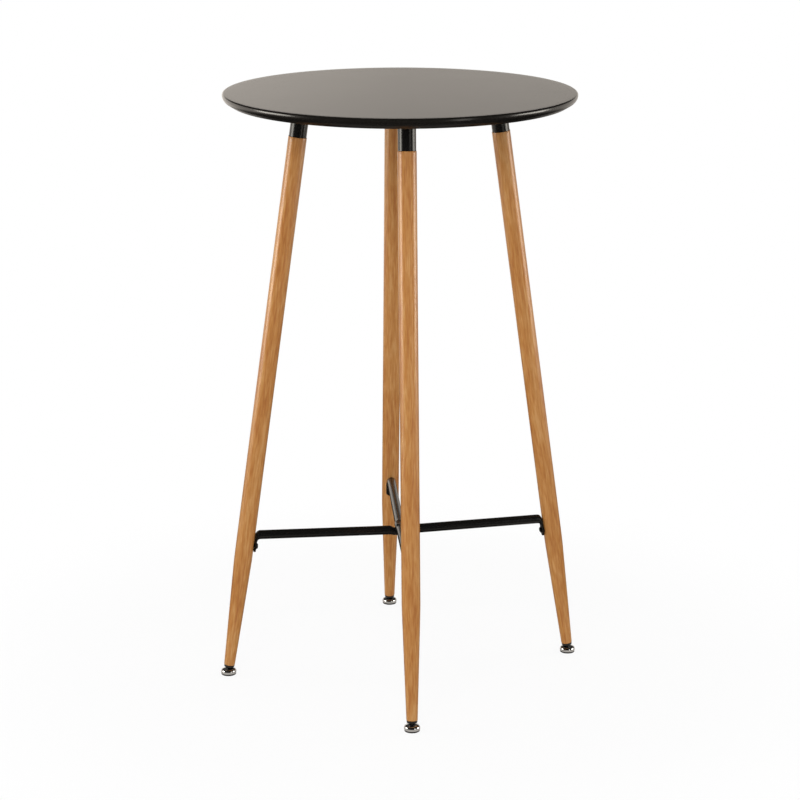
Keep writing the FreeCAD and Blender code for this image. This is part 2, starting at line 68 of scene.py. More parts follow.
class Flow:
    # one output of a node; arithmetic on it adds Math nodes to the same tree
    def __init__(self, graph, socket):
        self.graph = graph
        self.socket = socket

    def other(self, name):
        return Flow(self.graph, self.socket.node.outputs[name])

    __add__ = mathOperator("ADD")
    __radd__ = mathOperator("ADD", True)
    __sub__ = mathOperator("SUBTRACT")
    __rsub__ = mathOperator("SUBTRACT", True)
    __mul__ = mathOperator("MULTIPLY")
    __rmul__ = mathOperator("MULTIPLY", True)
    __truediv__ = mathOperator("DIVIDE")
    __rtruediv__ = mathOperator("DIVIDE", True)
    __pow__ = mathOperator("POWER")
    __rpow__ = mathOperator("POWER", True)


class Graph:
    # a shader or geometry tree that grows node by node
    def __init__(self, tree):
        self.tree = tree

    def feed(self, socket, value):
        if isinstance(value, Flow):
            self.tree.links.new(value.socket, socket)
        else:
            socket.default_value = value

    def add(self, kind, settings=None, inputs=None, output=0):
        made = self.tree.nodes.new(kind)
        for name, value in (settings or {}).items():
            if name == "stops":
                setStops(made.color_ramp, value)
            else:
                setattr(made, name, value)
        for name, value in (inputs or {}).items():
            self.feed(made.inputs[name], value)
        return Flow(self, made.outputs[output]) if len(made.outputs) else made

    def reckon(self, operation, *values):
        return self.add("ShaderNodeMath", {"operation": operation}, dict(enumerate(values)))

    def blendColour(self, share, first, second):
        return self.add("ShaderNodeMix", {"data_type": "RGBA"}, {0: share, 6: first, 7: second}, 2)

    def stretched(self, place, alongZ):
        # the place with its z scaled, which squeezes a pattern along z or draws it out
        return self.add("ShaderNodeMapping", {"vector_type": "POINT"},
                        {"Vector": place, "Scale": (1, 1, alongZ)})

    def noise(self, place, scale, detail, roughness=0.5):
        return self.add("ShaderNodeTexNoise", {"noise_dimensions": "3D"},
                        {"Vector": place, "Scale": scale, "Detail": detail, "Roughness": roughness})

    def mapped(self, value, low, high, toLow, toHigh, course="LINEAR"):
        return self.add("ShaderNodeMapRange", {"clamp": True, "interpolation_type": course},
                        {"Value": value, 1: low, 2: high, 3: toLow, 4: toHigh})

    def eased(self, value, low, high, toLow, toHigh):
        return self.mapped(value, low, high, toLow, toHigh, "SMOOTHSTEP")

    def relief(self, height, distance, strength):
        return self.add("ShaderNodeBump", None,
                        {"Strength": strength, "Distance": distance, "Height": height})


def setStops(ramp, stops):
    while len(ramp.elements) < len(stops):
        ramp.elements.new(0.5)
    for element, (place, shade) in zip(ramp.elements, stops):
        element.position = place
        element.color = colour(*shade)


def colour(red, green, blue):
    # a screen colour, 0 to 255, as the shader's linear one
    def linear(level):
        share = level / 255
        return share / 12.92 if share <= 0.04045 else ((share + 0.055) / 1.055) ** 2.4
    return (linear(red), linear(green), linear(blue), 1.0)


# materials

def newMaterial(name):
    material = bpy.data.materials.new(name)
    material.use_nodes = True
    return material, Graph(material.node_tree)


def dress(material, graph, finish):
    # feeds the shader's sockets by name
    shader = material.node_tree.nodes["Principled BSDF"]
    for name, value in finish.items():
        graph.feed(shader.inputs[name], value)
    return material


def makeCoat(name, look):
    # black paint or plastic: the grain gives the relief, both vary the gloss, and one of them the colour
    material, graph = newMaterial(name)
    place = graph.add("ShaderNodeTexCoord", output="Object")
    grain = graph.noise(place, look["grainSize"], 2.0)
    cloud = graph.noise(place, look["cloudSize"], look["cloudDetail"])
    mask = cloud if look["cloudTints"] else grain
    tint = graph.blendColour(mask, colour(*look["dark"]), colour(*look["pale"]))
    rough = look["roughness"] + (grain - 0.5) * look["grainRough"] + (cloud - 0.5) * look["cloudRough"]
    return dress(material, graph, {"Base Color": tint, "Roughness": rough, "IOR": look["ior"],
                                   "Normal": graph.relief(grain, look["relief"], look["reliefShare"])})


def makeOakFilm():
    # printed oak film on steel: the grain runs up the leg, in the leg's own place
    look = {"streakSize": 360, "streakAlong": 0.1, "poreSize": 700, "poreAlong": 0.09, "bandSize": 90,
            "streakShare": 0.58, "leastTone": 0.35, "mostTone": 0.65, "leastPore": 0.54, "mostPore": 0.72,
            "poreDepth": 0.4, "roughness": 0.30, "streakRough": 0.10, "poreRough": 0.08, "poreRelief": 0.6,
            "relief": 0.00004, "reliefShare": 0.3, "ior": 1.45, "poreColour": (152, 90, 42),
            "stops": [(0.0, (163, 102, 48)), (0.33, (175, 117, 58)), (0.66, (184, 129, 70)),
                      (1.0, (193, 143, 86))]}
    material, graph = newMaterial("oakFilm")
    place = graph.add("ShaderNodeAttribute", {"attribute_name": "legPlace"}, output="Vector")
    along = graph.stretched(place, look["streakAlong"])
    band = graph.noise(along, look["bandSize"], 2.0)
    streak = graph.noise(along, look["streakSize"], 3.0, 0.55)
    pore = graph.noise(graph.stretched(place, look["poreAlong"]), look["poreSize"], 2.0, 0.6)
    mixed = streak * look["streakShare"] + band * (1 - look["streakShare"])
    tone = graph.mapped(mixed, look["leastTone"], look["mostTone"], 0.0, 1.0)
    film = graph.add("ShaderNodeValToRGB", {"stops": look["stops"]}, {"Fac": tone})
    dark = graph.mapped(pore, look["leastPore"], look["mostPore"], 0.0, look["poreDepth"])
    wood = graph.blendColour(dark, film, colour(*look["poreColour"]))
    rough = look["roughness"] + (streak - 0.5) * look["streakRough"] + dark * look["poreRough"]
    relief = graph.relief(streak - dark * look["poreRelief"], look["relief"], look["reliefShare"])
    return dress(material, graph, {"Base Color": wood, "Roughness": rough, "Normal": relief,
                                   "IOR": look["ior"]})


def makeMetal(name, pale, dark, roughness, markSize, markAlong):
    # bare or plated metal with faint turning marks and handling wear
    look = {"smearSize": 90, "leastRough": 0.75, "smearRough": 0.5, "markRough": 0.06, "relief": 0.00002,
            "reliefShare": 0.3}
    material, graph = newMaterial(name)
    place = graph.add("ShaderNodeTexCoord", output="Object")
    marks = graph.noise(graph.stretched(place, markAlong), markSize, 3.0)
    smear = graph.noise(place, look["smearSize"], 2.0)
    tint = graph.blendColour(smear, colour(*pale), colour(*dark))
    wear = roughness * (look["leastRough"] + smear * look["smearRough"])
    return dress(material, graph, {"Base Color": tint, "Metallic": 1.0,
                                   "Roughness": wear + (marks - 0.5) * look["markRough"],
                                   "Normal": graph.relief(marks, look["relief"], look["reliefShare"])})


# the board's face and edge mirror a pale room softly; its bevel and underside are duller
blackLacquer = makeCoat("blackSatinLacquer", {
    "grainSize": 900, "cloudSize": 14, "cloudDetail": 3.0, "roughness": 0.20, "grainRough": 0.06,
    "cloudRough": 0.012, "cloudTints": False, "dark": (16, 14, 12), "pale": (28, 25, 22), "relief": 0.00002,
    "reliefShare": 0.35, "ior": 1.48})
underPaint = makeCoat("blackUnderPaint", {
    "grainSize": 600, "cloudSize": 25, "cloudDetail": 3.0, "roughness": 0.3, "grainRough": 0.10,
    "cloudRough": 0.08, "cloudTints": False, "dark": (13, 12, 11), "pale": (23, 21, 19), "relief": 0.00003,
    "reliefShare": 0.3, "ior": 1.22})
oakFilm = makeOakFilm()
powderCoat = makeCoat("blackPowderCoat", {
    "grainSize": 900, "cloudSize": 2600, "cloudDetail": 1.0, "roughness": 0.25, "grainRough": 0.12,
    "cloudRough": 0.0, "cloudTints": True, "dark": (12, 11, 10), "pale": (21, 20, 19), "relief": 0.00003,
    "reliefShare": 0.3, "ior": 1.4})
mouldedBlack = makeCoat("mouldedBlack", {
    "grainSize": 3200, "cloudSize": 160, "cloudDetail": 2.0, "roughness": 0.40, "grainRough": 0.12,
    "cloudRough": 0.14, "cloudTints": True, "dark": (10, 10, 10), "pale": (19, 19, 18), "relief": 0.00004,
    "reliefShare": 0.5, "ior": 1.5})
brightChrome = makeMetal("brightChrome", (226, 228, 230), (212, 214, 217), 0.06, 700, 5)
brightZinc = makeMetal("brightZinc", (205, 207, 208), (180, 183, 186), 0.26, 900, 6)
blackZinc = makeMetal("blackZinc", (62, 62, 63), (42, 42, 43), 0.30, 1200, 3)
turnedBrass = makeMetal("turnedBrass", (214, 180, 110), (190, 152, 84), 0.28, 900, 6)
print("materials made")


# places

def frameOf(x, z, place):
    # a frame whose z is kept, and whose x is made square to it
    z = z.normalized()
    y = z.cross(x).normalized()
    x = y.cross(z)
    return Matrix.Translation(place) @ Matrix((x, y, z)).transposed().to_4x4()


def stemJoint(leg):
    return next(joint for joint in frame["joints"] if joint["name"] == "stem_turn_" + leg)


def ballOf(leg):
    return Vector(stemJoint(leg)["pos_m"])


def floorPlace(leg):
    # the point of the floor under the foot's ball
    ball = ballOf(leg)
    return Vector((ball.x, ball.y, 0))


def legFrame(leg):
    # z runs up the leg's middle line from the floor, x points away from the table's axis
    ball = ballOf(leg)
    upLeg = -Vector(stemJoint(leg)["axis"])
    return frameOf(floorPlace(leg), upLeg, ball - upLeg * (ball.z / upLeg.z))


def uprightFrame(leg):
    # the same leg's foot, standing straight on the floor under the ball
    return frameOf(floorPlace(leg), up, floorPlace(leg))


def facing(leg):
    # the table's own frame, turned so that x points at the leg
    return frameOf(floorPlace(leg), up, Vector())


def splayOf(leg):
    return math.acos(legFrame(leg).col[2].z)


def axisRadius(leg, height):
    # from the table's axis to the leg's middle line at a height, in millimetres
    return legFrame(leg).translation.xy.length / mm - height * math.tan(splayOf(leg))


def span(node, space):
    # lowest and highest place of a node along the z of a frame, in millimetres
    inverse = space.inverted()
    places = [(inverse @ vertex.co).z / mm for vertex in frame["nodes"][node].data.vertices]
    return min(places), max(places)


# shapes

def turnsOf(count):
    # so many even turns round a circle
    return [2 * math.pi * i / count for i in range(count)]


def turnedPoint(radius, turn, height=0.0):
    return Vector((radius * math.cos(turn), radius * math.sin(turn), height))


def roundedOutline(corners, closed, turnStep=0.16):
    # corners are (x, z, round); each round becomes an arc of short chords
    points = []
    count = len(corners)
    for i, (x, z, radius) in enumerate(corners):
        here = Vector((x, z))
        if not radius or (not closed and i in (0, count - 1)):
            points.append(here)
            continue
        back = (Vector(corners[i - 1][:2]) - here).normalized()
        ahead = (Vector(corners[(i + 1) % count][:2]) - here).normalized()
        half = back.angle(ahead) / 2
        centre = here + (back + ahead).normalized() * (radius / math.sin(half))
        start = here + back * (radius / math.tan(half)) - centre
        end = here + ahead * (radius / math.tan(half)) - centre
        turn = start.angle(end)
        steps = max(2, math.ceil(turn / turnStep))
        for step in range(steps + 1):
            share = step / steps
            reach = start * math.sin(turn * (1 - share)) + end * math.sin(turn * share)
            points.append(centre + reach / math.sin(turn))
    return points


def toMesh(name, shape):
    mesh = bpy.data.meshes.new(name)
    shape.to_mesh(mesh)
    shape.free()
    return mesh


def cleaned(name, shape):
    bmesh.ops.remove_doubles(shape, verts=shape.verts, dist=1e-7)
    bmesh.ops.recalc_face_normals(shape, faces=shape.faces)
    return toMesh(name, shape)


def bridge(shape, first, second):
    # faces between two rings; a ring of one point is a pole
    count = max(len(first), len(second))
    for i in range(count):
        following = (i + 1) % count
        corners = [first[i % len(first)], first[following % len(first)],
                   second[following % len(second)], second[i % len(second)]]
        unique = list(dict.fromkeys(corners))
        if len(unique) > 2:
            shape.faces.new(unique)


def turnedMesh(name, points, segments, closed):
    # a solid of revolution about z; an outline that isn't closed ends on the axis at both ends
    shape = bmesh.new()
    rings = []
    for point in points:
        if point.x < 1e-6:
            places = [(0, 0, point.y * mm)]
        else:
            places = [turnedPoint(point.x * mm, turn, point.y * mm) for turn in turnsOf(segments)]
        rings.append([shape.verts.new(place) for place in places])
    for i in range(len(rings) if closed else len(rings) - 1):
        bridge(shape, rings[i], rings[(i + 1) % len(rings)])
    return cleaned(name, shape)


def skin(shape, rings, closed, space=Matrix()):
    # covers rings of as many points each, in millimetres; closed says which of them get a face
    made = [[shape.verts.new(space @ (point * mm)) for point in ring] for ring in rings]
    for first, second in zip(made, made[1:]):
        bridge(shape, first, second)
    for end in closed:
        shape.faces.new(made[end])


def joined(name, meshes):
    # one mesh out of several closed ones
    shape = bmesh.new()
    for mesh in meshes:
        shape.from_mesh(mesh)
        bpy.data.meshes.remove(mesh)
    return toMesh(name, shape)


def newObject(name, data):
    made = bpy.data.objects.new(name, data)
    bpy.context.scene.collection.objects.link(made)
    return made


def plainMesh(holder):
    # what an object's curve or modifiers come to, as a mesh instead of the object
    bpy.context.view_layer.update()
    depsgraph = bpy.context.evaluated_depsgraph_get()
    mesh = bpy.data.meshes.new_from_object(holder.evaluated_get(depsgraph), depsgraph=depsgraph)
    holder.modifiers.clear()
    bpy.data.objects.remove(holder)
    return mesh


def smooth(mesh, angle=32):
    mesh.polygons.foreach_set("use_smooth", [True] * len(mesh.polygons))
    mesh.set_sharp_from_angle(angle=math.radians(angle))
    mesh.update()


def settle(name, mesh, material, body, node, space=None):
    # puts a finished mesh in its place, on its body, instead of its node
    if space is not None:
        mesh.transform(space)
    smooth(mesh)
    mesh.materials.clear()
    mesh.materials.append(material)
    piece = newObject(name, mesh)
    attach(piece, body)
    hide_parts(node)
    return piece


# geometry trees

def newTree(name, inputs):
    # inputs are lists of names by kind; the geometry comes before them and the material after
    tree = bpy.data.node_groups.new(name, "GeometryNodeTree")
    for kind, inputNames in {"Geometry": ["Geometry"], **inputs, "Material": ["Material"]}.items():
        for inputName in inputNames:
            tree.interface.new_socket(inputName, in_out="INPUT", socket_type="NodeSocket" + kind)
    tree.interface.new_socket("Geometry", in_out="OUTPUT", socket_type="NodeSocketGeometry")
    graph = Graph(tree)
    return tree, graph, graph.add("NodeGroupInput")


def endTree(graph, entry, geometry):
    # every tree ends in plain geometry with its material
    real = graph.add("GeometryNodeRealizeInstances", None, {"Geometry": geometry})
    done = graph.add("GeometryNodeSetMaterial", None, {"Geometry": real, "Material": entry.other("Material")})
    graph.add("NodeGroupOutput", None, {"Geometry": done})


def grown(name, mesh, tree, material, sizes, others, finishing=()):
    # runs a tree and any finishing modifiers on a mesh and gives the result as a plain mesh
    values = {sizeName: size * mm for sizeName, size in sizes.items()} | others | {"Material": material}
    holder = newObject(name, mesh)
    modifier = holder.modifiers.new("shape", "NODES")
    modifier.node_group = tree
    for item in tree.interface.items_tree:
        if item.item_type == "SOCKET" and item.in_out == "INPUT" and item.name in values:
            modifier[item.identifier] = values[item.name]
    for kind, settings in finishing:
        extra = holder.modifiers.new(kind.lower(), kind)
        for setting, value in settings.items():
            setattr(extra, setting, value)
    return plainMesh(holder)


def gridOf(graph, entry):
    # a unit grid with the running angle and the running row of each of its points
    grid = graph.add("GeometryNodeMeshGrid", None, {
        "Size X": 1.0, "Size Y": 1.0,
        "Vertices X": entry.other("Around") + 1, "Vertices Y": entry.other("Rows")})
    place = graph.add("GeometryNodeInputPosition")
    spread = graph.add("ShaderNodeSeparateXYZ", None, {0: place})
    angle = (spread + 0.5) * (2 * math.pi)
    row = (spread.other("Y") + 0.5) * (entry.other("Rows") - 1)
    return grid, angle, row


def wrapped(graph, grid, angle, radius, height):
    # sets the grid round the z axis and closes its seam and poles
    place = graph.add("ShaderNodeCombineXYZ", None, {
        "X": radius * graph.reckon("COSINE", angle), "Y": radius * graph.reckon("SINE", angle), "Z": height})
    bent = graph.add("GeometryNodeSetPosition", None, {"Geometry": grid, "Position": place})
    return graph.add("GeometryNodeMergeByDistance", None, {"Geometry": bent, "Distance": 1e-6})


def makeLegTree():
    # a tube that runs straight, turns through a knee and tapers to its lower end
    sizes = ["Lower End", "Upper End", "Lower Radius", "Upper Radius", "Taper Length", "Knee Radius"]
    tree, graph, entry = newTree("legTube", {"Float": sizes, "Int": ["Around", "Rows"]})
    lower, upper, lowerRadius, upperRadius, taper, kneeRadius = [entry.other(size) for size in sizes]
    grid, angle, row = gridOf(graph, entry)
    height = lower + (upper - lower) * (row / (entry.other("Rows") - 1))
    slope = (upperRadius - lowerRadius) / taper
    reach = kneeRadius * slope * 0.5     # half the knee's length along the leg
    below = lower + taper + reach - height
    inKnee = graph.reckon("MINIMUM", graph.reckon("MAXIMUM", below, 0.0), reach * 2)
    onTaper = graph.reckon("MAXIMUM", below - reach * 2, 0.0)
    radius = upperRadius - inKnee ** 2 / (kneeRadius * 2) - onTaper * slope
    endTree(graph, entry, wrapped(graph, grid, angle, radius, height))
    return tree


def makeThreadTree():
    # a threaded rod with bevelled, closed ends
    sizes = ["Lower End", "Length", "Radius", "Pitch", "Depth", "Bevel"]
    tree, graph, entry = newTree("threadedRod", {"Float": sizes, "Int": ["Around", "Rows"]})
    lower, length, crest, pitch, depth, bevel = [entry.other(size) for size in sizes]
    rows = entry.other("Rows")
    grid, angle, row = gridOf(graph, entry)
    share = graph.reckon("MINIMUM", graph.reckon("MAXIMUM", (row - 1) / (rows - 3), 0.0), 1.0)
    rise = share * length
    groove = graph.reckon("PINGPONG", rise / pitch - angle / (2 * math.pi), 0.5) * 2
    fromEnd = graph.reckon("MINIMUM", rise, length - rise)
    radius = graph.reckon("MINIMUM", crest - groove * depth, crest - bevel + fromEnd)
    # the first and last rows are poles, which close the rod
    inside = graph.reckon("GREATER_THAN", row, 0.5) * graph.reckon("LESS_THAN", row, rows - 1.5)
    endTree(graph, entry, wrapped(graph, grid, angle, radius * inside, lower + rise))
    return tree


def makeScrewTree():
    # one screw at each point, head along the point's axis, each turned by chance
    tree, graph, entry = newTree("screwsOnPoints", {"Object": ["Screw"], "Int": ["Seed"]})
    axis = graph.add("GeometryNodeInputNamedAttribute", {"data_type": "FLOAT_VECTOR"}, {"Name": "headAxis"})
    aligned = graph.add("FunctionNodeAlignRotationToVector", {"axis": "Z"}, {"Vector": axis})
    chance = graph.add("FunctionNodeRandomValue", {"data_type": "FLOAT"},
                       {2: 0.0, 3: 2 * math.pi, "Seed": entry.other("Seed")}, 1)
    spin = graph.add("FunctionNodeAxisAngleToRotation", None, {"Axis": up, "Angle": chance})
    turn = graph.add("FunctionNodeRotateRotation", {"rotation_space": "LOCAL"},
                     {"Rotation": aligned, "Rotate By": spin})
    screw = graph.add("GeometryNodeObjectInfo", None, {"Object": entry.other("Screw")}, "Geometry")
    placed = graph.add("GeometryNodeInstanceOnPoints", None, {
        "Points": entry.other("Geometry"), "Instance": screw, "Rotation": turn})
    endTree(graph, entry, placed)
    return tree


def makeWeldTree():
    # overlapping beads along a closed seam
    sizes = ["Bead Width", "Bead Length"]
    tree, graph, entry = newTree("weldBeads", {"Float": sizes, "Int": ["Count"]})
    width, length = [entry.other(size) for size in sizes]
    seam = graph.add("GeometryNodeMeshToCurve", None, {"Mesh": entry.other("Geometry")})
    even = graph.add("GeometryNodeResampleCurve", {"mode": "COUNT"},
                     {"Curve": seam, "Count": entry.other("Count")})
    bead = graph.add("GeometryNodeMeshIcoSphere", None, {"Radius": 0.5, "Subdivisions": 2})
    tangent = graph.add("GeometryNodeInputTangent")
    turn = graph.add("FunctionNodeAlignRotationToVector", {"axis": "X"}, {"Vector": tangent})
    size = graph.add("ShaderNodeCombineXYZ", None, {"X": length, "Y": width, "Z": width})
    beads = graph.add("GeometryNodeInstanceOnPoints", None, {
        "Points": even, "Instance": bead, "Rotation": turn, "Scale": size})
    endTree(graph, entry, beads)
    return tree


legTree = makeLegTree()
threadTree = makeThreadTree()
screwTree = makeScrewTree()
weldTree = makeWeldTree()
print("node trees made")


# tabletop

board = {"arris": 3.2, "band": 9.5, "bevelInset": 14.0, "kneeRound": 11.0, "lowerArris": 1.0,
         "middleShare": 0.5, "rimWidth": 12.8, "turnStep": 0.1, "segments": 256}


def makeBoard():
    low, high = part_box("tabletop")
    radius = (high.x - low.x) / 2 / mm
    top = high.z / mm
    underside = low.z / mm
    corners = [
        (0, top, 0),
        (radius * board["middleShare"], top, 0),
        (radius - board["rimWidth"], top, 0),
        (radius, top, board["arris"]),
        (radius, top - board["band"], board["kneeRound"]),
        (radius - board["bevelInset"], underside, board["lowerArris"]),
        (radius * board["middleShare"], underside, 0),
        (0, underside, 0),
    ]
    outline = roundedOutline(corners, False, board["turnStep"])
    mesh = turnedMesh("board", outline, board["segments"], False)
    piece = settle("board", mesh, blackLacquer, "table", "tabletop")
    piece.data.materials.append(underPaint)
    for face in piece.data.polygons:
        face.material_index = int(face.center.z < (top - board["band"]) * mm)


makeBoard()
print("board made")


# leg sockets

socket = {"plateSize": 76.0, "plateThickness": 3.0, "plateRound": 0.5, "cornerRadius": 10.0,
          "cornerSteps": 8, "screwInset": 10.0, "screwHole": 6.6, "holeSteps": 32, "sleeveRadius": 15.0,
          "sleeveRound": 0.35, "spigotRadius": 14.35, "spigotRound": 1.0, "boreRadius": 12.85,
          "endThickness": 4.0, "boltHole": 4.25, "beadWidth": 4.2, "beadLength": 3.4, "beads": 58,
          "segments": 96}
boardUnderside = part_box("tabletop")[0].z / mm


def roundedSquare(half, radius, steps):
    points = []
    for turn in turnsOf(4):
        corner = turnedPoint(1.0, turn + math.pi / 4) * (half - radius) * math.sqrt(2)
        for step in range(steps + 1):
            angle = turn + math.pi / 2 * step / steps
            points.append(corner + turnedPoint(1.0, angle) * radius)
    return points


def flatPlate(name, outlines, thickness, rounding):
    # a flat curve with its holes, thickened and with softened edges
    curve = bpy.data.curves.new(name, "CURVE")
    curve.dimensions = "2D"
    curve.fill_mode = "BOTH"
    curve.extrude = (thickness / 2 - rounding) * mm
    curve.bevel_depth = rounding * mm
    curve.bevel_resolution = 2
    curve.offset = -rounding * mm
    for points in outlines:
        line = curve.splines.new("POLY")
        line.points.add(len(points) - 1)
        for target, point in zip(line.points, points):
            target.co = (point.x * mm, point.y * mm, 0, 1)
        line.use_cyclic_u = True
    mesh = plainMesh(newObject(name, curve))
    shape = bmesh.new()
    shape.from_mesh(mesh)
    bpy.data.meshes.remove(mesh)
    return cleaned(name, shape)


def plateHoles():
    # the screws' places from the plate's middle
    reach = socket["plateSize"] / 2 - socket["screwInset"]
    return [(x, y) for x in (-reach, reach) for y in (-reach, reach)]


def makePlate(leg):
    radius = socket["screwHole"] / 2
    outlines = [roundedSquare(socket["plateSize"] / 2, socket["cornerRadius"], socket["cornerSteps"])]
    for x, y in plateHoles():
        outlines.append([Vector((x + radius * math.cos(turn), y + radius * math.sin(turn)))
                         for turn in turnsOf(socket["holeSteps"])])
    plate = flatPlate("plate", outlines, socket["plateThickness"], socket["plateRound"])
    middle = Vector((axisRadius(leg, boardUnderside), 0, boardUnderside - socket["plateThickness"] / 2))
    plate.transform(Matrix.Translation(middle * mm))
    plate.transform(facing(leg))
    return plate


def makeSleeve(seam, spigotEnd, splay):
    # turned about the leg's middle line; its upper rim is slanted so that it ends inside the level plate
    rim = seam + socket["plateSize"]
    inner = spigotEnd + socket["endThickness"]
    outline = roundedOutline([
        (socket["sleeveRadius"], rim, 0),
        (socket["sleeveRadius"], seam, socket["sleeveRound"]),
        (socket["spigotRadius"], seam, 0),
        (socket["spigotRadius"], spigotEnd, socket["spigotRound"]),
        (socket["boltHole"], spigotEnd, 0),
        (socket["boltHole"], inner, 0),
        (socket["boreRadius"], inner, 0),
        (socket["boreRadius"], rim, 0),
    ], False)
    mesh = turnedMesh("sleeve", outline, socket["segments"], True)
    plateMiddle = boardUnderside - socket["plateThickness"] / 2
    for vertex in mesh.vertices:
        if vertex.co.z > (seam + rim) / 2 * mm:
            vertex.co.z = (plateMiddle * mm - vertex.co.x * math.sin(splay)) / math.cos(splay)
    return mesh


def makeBeads(splay):
    # along the seam where the sleeve leaves the lower face of the plate, in the leg's frame
    level = boardUnderside - socket["plateThickness"]
    radius = socket["sleeveRadius"]
    points = []
    for turn in turnsOf(socket["segments"]):
        x = radius * math.cos(turn)
        y = radius * math.sin(turn)
        points.append(Vector((x, y, (level - x * math.sin(splay)) / math.cos(splay))) * mm)
    edges = [(i, (i + 1) % len(points)) for i in range(len(points))]
    seamLine = bpy.data.meshes.new("seamLine")
    seamLine.from_pydata(points, edges, [])
    return grown("beads", seamLine, weldTree, powderCoat, {
        "Bead Width": socket["beadWidth"], "Bead Length": socket["beadLength"]}, {"Count": socket["beads"]})


def makeSocket(leg):
    node = "leg_socket_" + leg
    lean = legFrame(leg)
    splay = splayOf(leg)
    sleeve = makeSleeve(span("leg_" + leg, lean)[1], span(node, lean)[0], splay)
    beads = makeBeads(splay)
    sleeve.transform(lean)
    beads.transform(lean)
    mesh = joined(node, [sleeve, beads, makePlate(leg)])
    settle("socket_" + leg, mesh, powderCoat, "table", node)


for leg in legNames:
    makeSocket(leg)
print("sockets made")


# legs

tube = {"lowerRadius": 9.5, "upperRadius": 15.75, "taperTop": 212.59, "kneeRadius": 600.0, "wall": 1.2,
        "rimRound": 0.5, "rimSteps": 3, "rimAngle": 50, "around": 96, "rows": 240}


def makeLeg(leg, start):
    # start is the stretch of the film that the leg shows
    lean = legFrame(leg)
    node = "leg_" + leg
    lower, upper = span(node, lean)
    mesh = grown(node, bpy.data.meshes.new(node), legTree, oakFilm, {
        "Lower End": lower, "Upper End": upper, "Lower Radius": tube["lowerRadius"],
        "Upper Radius": tube["upperRadius"], "Taper Length": tube["taperTop"] - lower,
        "Knee Radius": tube["kneeRadius"]}, {"Around": tube["around"], "Rows": tube["rows"]}, [
            ("SOLIDIFY", {"thickness": tube["wall"] * mm, "offset": -1, "use_rim": True}),
            ("BEVEL", {"width": tube["rimRound"] * mm, "segments": tube["rimSteps"], "limit_method": "ANGLE",
                       "angle_limit": math.radians(tube["rimAngle"])})])
    place = mesh.attributes.new("legPlace", "FLOAT_VECTOR", "POINT")
    for value, vertex in zip(place.data, mesh.vertices):
        value.vector = vertex.co + Vector((start, 0, 0))
    settle("legTube_" + leg, mesh, oakFilm, "table", node, lean)


for leg, start in zip(legNames, (10.0, 20.0, 30.0, 40.0)):
    makeLeg(leg, start)
print("legs made")


# foot tubes

footTube = {"radius": 8.0, "bow": 5.7, "crossingHeight": 11.0, "crossingFlat": 5.0, "crossingRun": 14.0,
            "crossingSteps": 14, "tabWidth": 18.4, "tabThickness": 3.2, "tipDrop": 31.0, "tipRadius": 7.0,
            "tipSteps": 10, "screwDrop": 20.6, "bendOuter": 8.5, "bendInner": 4.5, "bendSteps": 26,
            "tabOffset": 16.55, "lowerEndHeight": 257.0, "ovalTurn": 88.0, "endSteps": 30, "flankSteps": 4}


def fair(share):
    return share * share * (3 - 2 * share)


def pressedWidth(halfHeight):
    # half the width of the pressed tube, whose outline keeps its length
    return halfHeight + math.pi * (footTube["radius"] - halfHeight) / 2


def ovalRing(centre, direction, halfWidth, halfHeight):
    # two end arcs and two flank arcs that meet smoothly, across a direction in the xz plane
    turn = math.radians(footTube["ovalTurn"])
    between = (halfWidth - halfHeight) / (math.sin(turn) + math.cos(turn) - 1)
    endRadius = halfWidth - between * math.cos(turn)
    ends = footTube["endSteps"]
    flanks = footTube["flankSteps"]
    arcs = [
        (between * math.cos(turn), 0, endRadius, -turn, turn, ends),
        (0, -between * math.sin(turn), between + endRadius, turn, math.pi - turn, flanks),
        (-between * math.cos(turn), 0, endRadius, math.pi - turn, math.pi + turn, ends),
        (0, between * math.sin(turn), between + endRadius, math.pi + turn, 2 * math.pi - turn, flanks),
    ]
    rise = Vector((-direction.z, 0, direction.x))
    ring = []
    for y, z, radius, start, end, steps in arcs:
        for step in range(steps):
            angle = start + (end - start) * step / steps
            ring.append(centre + Vector((0, y + radius * math.cos(angle), 0))
                        + rise * (z + radius * math.sin(angle)))
    return ring


def meeting(point, direction, otherPoint, otherDirection):
    # where two lines in the xz plane cross
    cross = direction.x * otherDirection.z - direction.z * otherDirection.x
    gap = otherPoint - point
    return point + direction * ((gap.x * otherDirection.z - gap.z * otherDirection.x) / cross)


def bendContour(corner, start, end, lead, radius, tail):
    # a straight lead, a round corner and a straight tail: its length, and the point at a distance
    turn = start.angle(end)
    reach = radius * math.tan(turn / 2)
    normal = (end - start * start.dot(end)).normalized()
    arcStart = corner - start * reach
    arcLength = radius * turn

    def pointAt(distance):
        if distance < lead:
            return arcStart - start * (lead - distance)
        if distance > lead + arcLength:
            return corner + end * (reach + distance - lead - arcLength)
        angle = (distance - lead) / radius
        centre = arcStart + normal * radius
        return centre + start * (radius * math.sin(angle)) - normal * (radius * math.cos(angle))

    return lead + arcLength + tail, pointAt


